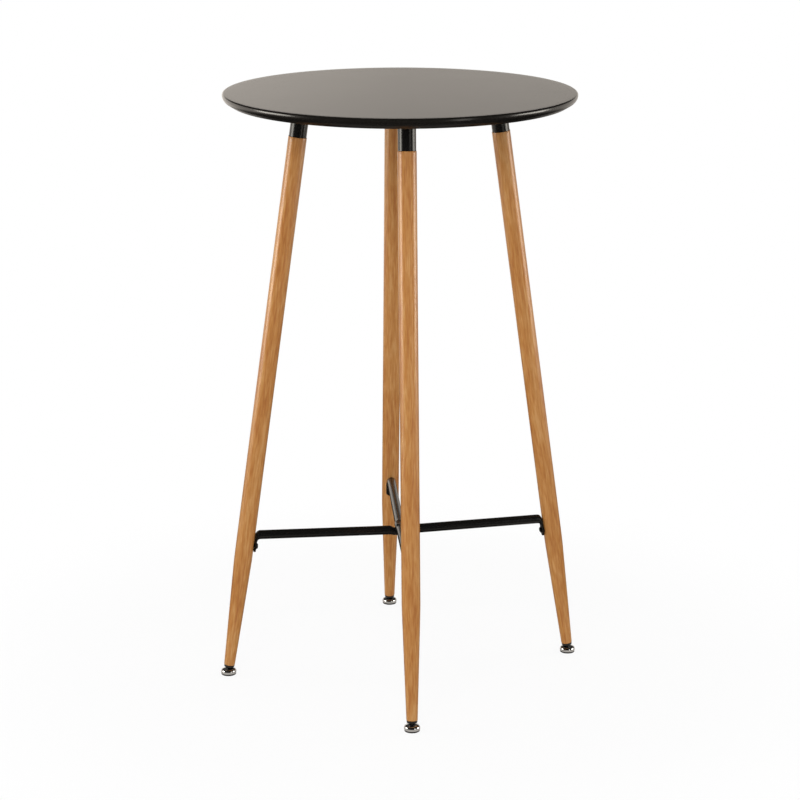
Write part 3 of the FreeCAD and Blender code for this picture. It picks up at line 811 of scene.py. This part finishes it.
class HalfTube:
    # half a foot tube in the plane of its leg, x pointing at the leg
    def __init__(self, leg):
        splay = splayOf(leg)
        height = footTube["lowerEndHeight"]
        if leg in upperTubeLegs:
            height += 2 * (footTube["crossingHeight"] - footTube["radius"])
        self.pressedSide = -1 if leg in upperTubeLegs else 1
        self.corner = Vector((axisRadius(leg, height) - footTube["tabOffset"] / math.cos(splay), 0, height))
        self.middle = Vector((0, 0, height - footTube["bow"]))
        self.run = (self.corner - self.middle).normalized()
        self.rise = Vector((-self.run.z, 0, self.run.x))
        self.down = Vector((math.sin(splay), 0, -math.cos(splay)))
        self.out = Vector((math.cos(splay), 0, math.sin(splay)))

    def crossing(self):
        half = footTube["crossingHeight"] / 2
        radius = footTube["radius"]
        sunk = (radius - half) * self.pressedSide
        level = Vector((1, 0, 0))
        rings = [ovalRing(self.middle - up * sunk, level, pressedWidth(half), half)]
        for i in range(footTube["crossingSteps"] + 1):
            share = i / footTube["crossingSteps"]
            distance = footTube["crossingFlat"] + footTube["crossingRun"] * share
            press = 1 - fair(share)
            halfHeight = radius * (1 - press) + half * press
            onLevel = self.middle + level * distance - up * sunk
            onRun = self.middle + self.run * distance - self.rise * (sunk * press)
            centre = onLevel * press + onRun * (1 - press)
            direction = (level * press + self.run * (1 - press)).normalized()
            rings.append(ovalRing(centre, direction, pressedWidth(halfHeight), halfHeight))
        return rings

    def bendAndTab(self):
        radius = footTube["radius"]
        thickness = footTube["tabThickness"]
        front = self.corner - self.out * thickness
        outerCorner = meeting(self.corner + self.rise * radius, self.run, self.corner, self.down)
        innerCorner = meeting(self.corner - self.rise * radius, self.run, front, self.down)
        slack = math.tan(self.run.angle(self.down) / 2)
        outerReach = footTube["bendOuter"] * slack
        innerReach = footTube["bendInner"] * slack
        start = outerCorner - self.run * outerReach - self.rise * radius
        end = innerCorner + self.down * innerReach + self.out * (thickness / 2)
        lead = (innerCorner - start).dot(self.run) - innerReach
        tail = (end - outerCorner).dot(self.down) - outerReach
        outerLength, outerAt = bendContour(outerCorner, self.run, self.down, 0, footTube["bendOuter"], tail)
        innerLength, innerAt = bendContour(innerCorner, self.run, self.down, lead, footTube["bendInner"], 0)
        rings = []
        steps = footTube["bendSteps"]
        for i in range(steps + 1):
            outer = outerAt(outerLength * i / steps)
            inner = innerAt(innerLength * i / steps)
            across = outer - inner
            halfHeight = across.length / 2
            press = (radius - halfHeight) / (radius - thickness / 2)
            halfWidth = radius * (1 - press) + footTube["tabWidth"] / 2 * press
            direction = Vector((across.z, 0, -across.x)).normalized()
            rings.append(ovalRing((outer + inner) * 0.5, direction, halfWidth, halfHeight))
        return rings + self.tab(end, thickness)

    def tab(self, start, thickness):
        # the flat end, drawn in round its tip as the shears leave it
        radius = footTube["tipRadius"]
        straight = footTube["tipDrop"] - (start - self.corner).dot(self.down) - radius
        rings = []
        for i in range(footTube["tipSteps"] + 1):
            drawn = radius * math.sin(math.pi / 2 * i / footTube["tipSteps"])
            halfWidth = footTube["tabWidth"] / 2 - radius + math.sqrt(max(radius ** 2 - drawn ** 2, 0.0))
            centre = start + self.down * (straight + drawn)
            rings.append(ovalRing(centre, self.down, halfWidth, thickness / 2))
        return rings


def makeFootTube(node, legs):
    shape = bmesh.new()
    for leg in legs:
        half = HalfTube(leg)
        skin(shape, half.crossing() + half.bendAndTab(), [-1], facing(leg))
    settle("tube_" + node, cleaned(node, shape), powderCoat, "table", node)


makeFootTube("lower_stretcher", lowerTubeLegs)
makeFootTube("upper_stretcher", upperTubeLegs)
print("foot tubes made")


# button head screws

screw = {"shankRadius": 3.0, "headRadius": 5.25, "headHeight": 3.3, "rim": 0.7, "crown": 2.9, "crownSteps": 7,
         "shankBevel": 0.5, "edge": 0.2, "socketWidth": 4.0, "socketBevel": 0.3, "socketDepth": 2.0,
         "drillRadius": 0.3, "drillDepth": 0.8, "points": 24, "plateLength": 14.0, "tabLength": 16.0,
         "crossingLength": 18.0}


def circleRing(radius, height):
    return [turnedPoint(radius, turn, height) for turn in turnsOf(screw["points"])]


def hexagonRing(width, height):
    # as many points as a circle, along the sides of a hexagon
    ring = []
    for turn in turnsOf(screw["points"]):
        fromFlat = (turn + math.pi / 6) % (math.pi / 3) - math.pi / 6
        ring.append(turnedPoint(width / 2 / math.cos(fromFlat), turn, height))
    return ring


def makeScrew(length):
    shank, head, height = screw["shankRadius"], screw["headRadius"], screw["headHeight"]
    width, depth = screw["socketWidth"], screw["socketDepth"]
    rings = [circleRing(shank - screw["shankBevel"], -length),
             circleRing(shank, screw["shankBevel"] - length), circleRing(shank, 0),
             circleRing(head - screw["edge"], 0), circleRing(head, screw["edge"]),
             circleRing(head, screw["rim"])]
    for i in range(1, screw["crownSteps"] + 1):
        turn = math.pi / 2 * i / screw["crownSteps"]
        rings.append(circleRing(screw["crown"] + (head - screw["crown"]) * math.cos(turn),
                                screw["rim"] + (height - screw["rim"]) * math.sin(turn)))
    rings += [hexagonRing(width + screw["socketBevel"], height), hexagonRing(width, height - screw["edge"]),
              hexagonRing(width, height - depth),
              circleRing(screw["drillRadius"], height - depth - screw["drillDepth"])]
    shape = bmesh.new()
    skin(shape, rings, [0, -1])
    return cleaned("screw", shape)


def makeScrews(name, node, length, places, seed):
    # places are (seat of the head, direction of the head)
    source = newObject("screwSource", makeScrew(length))
    smooth(source.data)
    points = bpy.data.meshes.new(name)
    points.from_pydata([seat * mm for seat, axis in places], [], [])
    axes = points.attributes.new("headAxis", "FLOAT_VECTOR", "POINT")
    for value, (seat, axis) in zip(axes.data, places):
        value.vector = axis
    mesh = grown(name, points, screwTree, blackZinc, {}, {"Screw": source, "Seed": seed})
    bpy.data.objects.remove(source)
    settle(name, mesh, blackZinc, "table", node)


def plateScrewPlaces():
    seat = boardUnderside - socket["plateThickness"]
    return [(facing(leg) @ Vector((axisRadius(leg, boardUnderside) + x, y, seat)), -up)
            for leg in legNames for x, y in plateHoles()]


def tabScrewPlaces():
    places = []
    for leg in legNames:
        half = HalfTube(leg)
        seat = half.corner + half.down * footTube["screwDrop"] - half.out * footTube["tabThickness"]
        places.append((facing(leg) @ seat, facing(leg) @ -half.out))
    return places


makeScrews("plateScrews", "plate_screws", screw["plateLength"], plateScrewPlaces(), 3)
makeScrews("tabScrews", "stretcher_screws", screw["tabLength"], tabScrewPlaces(), 5)
crossingSeat = up * (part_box("crossing_screw")[0].z / mm + screw["headHeight"])
makeScrews("crossingScrewLook", "crossing_screw", screw["crossingLength"], [(crossingSeat, -up)], 7)
print("screws made")


# levelling feet

plug = {"endRadius": 8.8, "radius": 9.2, "height": 4.6, "lowerRound": 1.4, "shoulderRound": 0.4,
        "upperRound": 1.0, "bore": 4.1, "spigotFit": 0.15, "ribs": 2, "ribHeight": 0.1, "ribLength": 1.5,
        "turnStep": 0.12, "segments": 96}
stem = {"radius": 4.0, "pitch": 1.25, "depth": 0.65, "bevel": 0.7, "shoulderGap": 0.6, "collar": 0.4,
        "collarDepth": 0.3, "neckRadius": 2.75, "ballRadius": 4.5, "ballSteps": 18, "around": 40,
        "rowsPerPitch": 8, "segments": 64}
bell = {"radius": 13.5, "height": 12.3, "shoulderHeight": 8.6, "shoulderRound": 4.5, "wall": 0.8,
        "mouthRadius": 4.7, "rimHeight": 2.8, "rimRound": 0.25, "turnStep": 0.08, "segments": 128}
pad = {"step": 0.5, "deckHeight": 4.0, "arris": 0.6, "bossRadius": 7.02, "bossHeight": 8.22, "bossRound": 0.4,
       "fit": 0.05, "seatFit": 0.12, "seatSteps": 14, "segments": 128}


def makePlug(leg, lean):
    node = "leg_plug_" + leg
    lower, upper = span(node, lean)
    legEnd = lower + plug["height"]
    slope = (tube["upperRadius"] - tube["lowerRadius"]) / (tube["taperTop"] - legEnd)

    def wall(height):
        # the spigot's outside, which follows the taper of the leg's bore
        return tube["lowerRadius"] - tube["wall"] + (height - legEnd) * slope - plug["spigotFit"]

    corners = [(plug["bore"], lower, 0), (plug["endRadius"], lower, plug["lowerRound"]),
               (plug["radius"], legEnd, plug["shoulderRound"]), (wall(legEnd), legEnd, 0)]
    pitch = (upper - legEnd) / (plug["ribs"] + 1)
    for i in range(1, plug["ribs"] + 1):
        start = legEnd + pitch * i - plug["ribLength"] / 2
        end = start + plug["ribLength"]
        for height, stand in ((start, 0), (start, plug["ribHeight"]), (end, plug["ribHeight"]), (end, 0)):
            corners.append((wall(height) + stand, height, 0))
    corners += [(wall(upper), upper, plug["upperRound"]), (plug["bore"], upper, 0)]
    mesh = turnedMesh(node, roundedOutline(corners, True, plug["turnStep"]), plug["segments"], True)
    settle("plug_" + leg, mesh, mouldedBlack, "table", node, lean)
    return lower


def makeStem(leg, lean, plugEnd):
    node = "foot_stem_" + leg
    lower, upper = span(node, lean)
    shoulder = plugEnd - stem["shoulderGap"]
    # one row more than the steps, and one to close each end
    rows = round((upper - shoulder) / stem["pitch"] * stem["rowsPerPitch"]) + 3
    rod = grown(node, bpy.data.meshes.new(node), threadTree, brightZinc, {
        "Lower End": shoulder, "Length": upper - shoulder, "Radius": stem["radius"], "Pitch": stem["pitch"],
        "Depth": stem["depth"], "Bevel": stem["bevel"]}, {"Around": stem["around"], "Rows": rows})
    ball = stem["ballRadius"]
    neckStart = math.acos(stem["neckRadius"] / ball)
    outline = [Vector((0, lower))]
    for i in range(1, stem["ballSteps"] + 1):
        turn = -math.pi / 2 + (math.pi / 2 + neckStart) * i / stem["ballSteps"]
        outline.append(Vector((ball * math.cos(turn), lower + ball + ball * math.sin(turn))))
    collar = stem["neckRadius"] + stem["collar"]
    collarTop = shoulder + stem["collarDepth"]
    outline += [Vector((stem["neckRadius"], shoulder - stem["collar"])), Vector((collar, shoulder)),
                Vector((collar, collarTop)), Vector((0, collarTop))]
    neck = turnedMesh(node, outline, stem["segments"], False)
    settle("stem_" + leg + "_look", joined(node, [rod, neck]), brightZinc, "stem_" + leg, node, lean)


def makeBell(leg, upright):
    node = "foot_bell_" + leg
    radius, mouth, wall = bell["radius"], bell["mouthRadius"], bell["wall"]
    slope = (bell["height"] - bell["shoulderHeight"]) / (radius - mouth)
    drop = wall * math.sqrt(1 + slope * slope)
    innerShoulder = bell["shoulderHeight"] + wall * slope - drop
    corners = [
        (radius, bell["rimHeight"], bell["rimRound"]),
        (radius, bell["shoulderHeight"], bell["shoulderRound"]),
        (mouth, bell["height"], bell["rimRound"]),
        (mouth, bell["height"] - drop, 0),
        (radius - wall, innerShoulder, bell["shoulderRound"] - wall),
        (radius - wall, bell["rimHeight"], bell["rimRound"]),
    ]
    mesh = turnedMesh(node, roundedOutline(corners, True, bell["turnStep"]), bell["segments"], True)
    settle("bell_" + leg, mesh, brightChrome, "foot_" + leg, node, upright)


def makePad(leg, upright):
    node = "foot_pad_" + leg
    outer = bell["radius"] - pad["step"]
    inner = bell["radius"] - bell["wall"] - pad["fit"]
    seatCentre = ballOf(leg).z / mm
    seatRadius = stem["ballRadius"] + pad["seatFit"]
    bossRise = pad["bossHeight"] - seatCentre
    mouth = math.sqrt(seatRadius ** 2 - bossRise ** 2)
    corners = [
        (0, 0, 0),
        (outer, 0, pad["arris"]),
        (outer, bell["rimHeight"], 0),
        (inner, bell["rimHeight"], 0),
        (inner, pad["deckHeight"], pad["bossRound"]),
        (pad["bossRadius"], pad["deckHeight"], pad["bossRound"]),
        (pad["bossRadius"], pad["bossHeight"], pad["bossRound"]),
        (mouth, pad["bossHeight"], 0),
    ]
    outline = roundedOutline(corners, False)
    start = math.asin(bossRise / seatRadius)
    for i in range(1, pad["seatSteps"]):
        turn = start - (start + math.pi / 2) * i / pad["seatSteps"]
        outline.append(Vector((seatRadius * math.cos(turn), seatCentre + seatRadius * math.sin(turn))))
    outline.append(Vector((0, seatCentre - seatRadius)))
    mesh = turnedMesh(node, outline, pad["segments"], False)
    settle("pad_" + leg, mesh, mouldedBlack, "foot_" + leg, node, upright)


for leg in legNames:
    lean = legFrame(leg)
    plugEnd = makePlug(leg, lean)
    makeStem(leg, lean, plugEnd)
    makeBell(leg, uprightFrame(leg))
    makePad(leg, uprightFrame(leg))
print("feet made")


# solids that stay as they are

innerPieces = {"threaded_inserts": turnedBrass, "tie_bolts": brightZinc, "stretcher_rivet_nuts": blackZinc,
               "crossing_rivet_nut": blackZinc}
for node, material in innerPieces.items():
    mesh = frame["nodes"][node].data
    mesh.materials.clear()
    mesh.materials.append(material)
print("inner pieces dressed")


# floor, room and lamps, in metres and degrees

view = {"distance": 4.09386, "height": 1.62477, "azimuth": 218.052, "heading": 38.053, "pitch": 15.4976,
        "lens": 109.484, "sensor": 36.0}
room = {"diffuse": 0.66, "back": 0.79, "front": 0.02, "turnStart": 0.05, "turnEnd": 0.55, "leftRise": 1.5,
        "leftReach": -0.14, "lowCeiling": 0.08, "highCeiling": 0.30, "skirting": 1.3, "ceiling": 0.05,
        "below": 0.2, "belowStart": -0.3, "belowEnd": -0.05, "warmth": (1.0, 0.92, 0.83, 1.0),
        "panelColour": (1.0, 0.96, 0.87), "white": (1.0, 1.0, 1.0, 1.0)}
# in mirrors the floor is a painted glow: painted shade under the table, half bright by the feet, dark further
# out, the room's light far off
floor = {"size": 60.0, "sink": 0.0005, "shadowShare": 0.11, "shadowStart": 0.5, "shadowEnd": 1.0,
         "paintedShadeUnderTable": 0.05, "paintedGlowByFeet": 0.5, "feetStart": 0.24, "feetEnd": 0.30, "nearEnd": 0.45,
         "darkStart": 0.6, "darkEnd": 1.5, "brightStart": 3.0, "darkest": 0.02, "tintSize": 3.0,
         "pale": (0.90, 0.90, 0.90, 1.0), "dark": (0.88, 0.88, 0.88, 1.0)}
# degrees from the lens to its right, low edge and high edge as (distance, height), width, radiance
mirrorPanels = {"leftPanel": (-83, (2.0, 0.4), (2.0, 1.08), 0.95, 8.5),
                "rightPanel": (88, (2.0, 0.4), (2.0, 1.08), 0.95, 7.5),
                "rightStrip": (38, (2.3, 0.0), (2.5, 1.8), 0.4, 2.0)}
softBoxes = {"leftSoftBox": (-92, (2.2, 0.0), (2.2, 2.2), 0.65, 3.0),
             "rightSoftBox": (104, (2.2, 0.0), (2.2, 2.2), 0.6, 2.6),
             "keySoftBox": (-8, (3.8, 1.3), (3.2, 3.0), 2.4, 4.2)}


def lensSide(offset=0.0):
    # level direction from the table towards the lens, or turned from there to the lens's right
    return turnedPoint(1.0, math.radians(view["heading"] + 180 + offset))


def dotWith(graph, vector, direction):
    return graph.add("ShaderNodeVectorMath", {"operation": "DOT_PRODUCT"}, {0: vector, 1: direction}, "Value")


def mirroredRoom(graph, level):
    # how bright the room looks in a mirror: dark on the lens's side, pale at the sides and behind
    ahead = dotWith(graph, level, lensSide())
    across = dotWith(graph, level, lensSide(90))
    wall = graph.eased(ahead, room["turnStart"], room["turnEnd"], room["back"], room["front"])
    return wall * graph.mapped(across, room["leftReach"], 0.0, room["leftRise"], 1.0)


def makeFloor():
    # the lens sees the white room through it, with the table's shadow, so a lowered foot still shows
    material, graph = newMaterial("paleFloor")
    seen = graph.add("ShaderNodeLightPath", output="Is Camera Ray")
    glossy = seen.other("Is Glossy Ray")
    place = graph.add("ShaderNodeTexCoord", output="Object")
    tint = graph.noise(place, floor["tintSize"], 2.0)
    reach = graph.add("ShaderNodeVectorMath", {"operation": "LENGTH"}, {0: place}, "Value")
    level = graph.add("ShaderNodeVectorMath", {"operation": "NORMALIZE"}, {0: place})
    # painted reflection of the floor for mirrors: painted shade under the table, a half-bright ring by the
    # feet, dark beyond it
    paintedShadeNear = (graph.eased(reach, floor["feetStart"], floor["feetEnd"], floor["paintedShadeUnderTable"], floor["paintedGlowByFeet"])
            * graph.eased(reach, floor["nearEnd"], floor["darkStart"], 1.0, 0.0) + floor["darkest"])
    far = graph.eased(reach, floor["darkEnd"], floor["brightStart"], 0.0, 1.0) * mirroredRoom(graph, level)
    lit = graph.eased(reach, floor["shadowStart"], floor["shadowEnd"], floor["shadowShare"], 0.0)
    matt = graph.add("ShaderNodeBsdfDiffuse", None, {
        "Color": graph.blendColour(tint, floor["pale"], floor["dark"])})
    # a painted glow that only mirrors see, standing in for the floor's reflection and its shade
    paintedMirrorGlow = graph.add("ShaderNodeEmission", None, {"Color": room["warmth"], "Strength": paintedShadeNear + far})
    mirrored = graph.add("ShaderNodeMixShader", None, {0: glossy, 1: matt, 2: paintedMirrorGlow})
    clear = graph.add("ShaderNodeBsdfTransparent", None, {"Color": room["white"]})
    both = graph.add("ShaderNodeMixShader", None, {0: seen * (1 - lit), 1: mirrored, 2: clear})
    nodes = material.node_tree.nodes
    nodes.remove(nodes["Principled BSDF"])
    graph.feed(nodes["Material Output"].inputs["Surface"], both)
    shape = bmesh.new()
    bmesh.ops.create_grid(shape, x_segments=1, y_segments=1, size=floor["size"] / 2)
    sheet = newObject("floor", cleaned("floor", shape))
    sheet.data.materials.append(material)
    sheet.location.z = -floor["sink"]


def makeWorld():
    # white for the lens, warm and uneven in mirrors, plain on matt surfaces
    world = bpy.data.worlds.new("paleRoom")
    world.use_nodes = True
    bpy.context.scene.world = world
    graph = Graph(world.node_tree)
    seen = graph.add("ShaderNodeLightPath", output="Is Camera Ray")
    glossy = seen.other("Is Glossy Ray")
    direction = graph.add("ShaderNodeTexCoord", output="Generated")
    upwards = dotWith(graph, direction, up)
    wall = mirroredRoom(graph, direction) * graph.eased(
        upwards, room["lowCeiling"], room["highCeiling"], room["skirting"], room["ceiling"])
    mirrored = wall * graph.eased(upwards, room["belowStart"], room["belowEnd"], room["below"], 1.0)
    strength = seen + (1 - seen) * (glossy * mirrored + (1 - glossy) * room["diffuse"])
    background = world.node_tree.nodes["Background"]
    graph.feed(background.inputs["Color"], graph.blendColour(glossy, room["white"], room["warmth"]))
    graph.feed(background.inputs["Strength"], strength)


def makeLamp(name, offset, low, high, width, radiance, inMirrors):
    # a panel that only shows in mirrors, or a soft box that only lights surfaces
    side = lensSide(offset)
    lower, upper = [side * distance + up * height for distance, height in (low, high)]
    rise = (upper - lower).normalized()
    back = rise.cross(side.cross(up))
    light = bpy.data.lights.new(name, "AREA")
    light.shape = "RECTANGLE"
    light.size = width
    light.size_y = (upper - lower).length
    light.energy = radiance * math.pi * light.size * light.size_y
    if inMirrors:
        light.color = room["panelColour"]
    lamp = newObject(name, light)
    lamp.matrix_world = frameOf(rise.cross(back), back, (lower + upper) / 2)
    lamp.visible_diffuse = not inMirrors
    lamp.visible_glossy = inMirrors


def makeCamera():
    # it stands at the azimuth and looks along the heading, tilted down by the pitch
    camera = newObject("camera", bpy.data.cameras.new("camera"))
    camera.data.lens = view["lens"]
    camera.data.sensor_width = view["sensor"]
    camera.location = turnedPoint(view["distance"], math.radians(view["azimuth"]), view["height"])
    pitch = math.radians(view["pitch"])
    sight = -lensSide() * math.cos(pitch) - up * math.sin(pitch)
    camera.rotation_euler = sight.to_track_quat("-Z", "Y").to_euler()
    bpy.context.scene.camera = camera


makeFloor()
makeWorld()
for lamps, inMirrors in ((mirrorPanels, True), (softBoxes, False)):
    for name, values in lamps.items():
        makeLamp(name, *values, inMirrors)
makeCamera()
bpy.context.scene.view_settings.view_transform = "Standard"
print("room made")
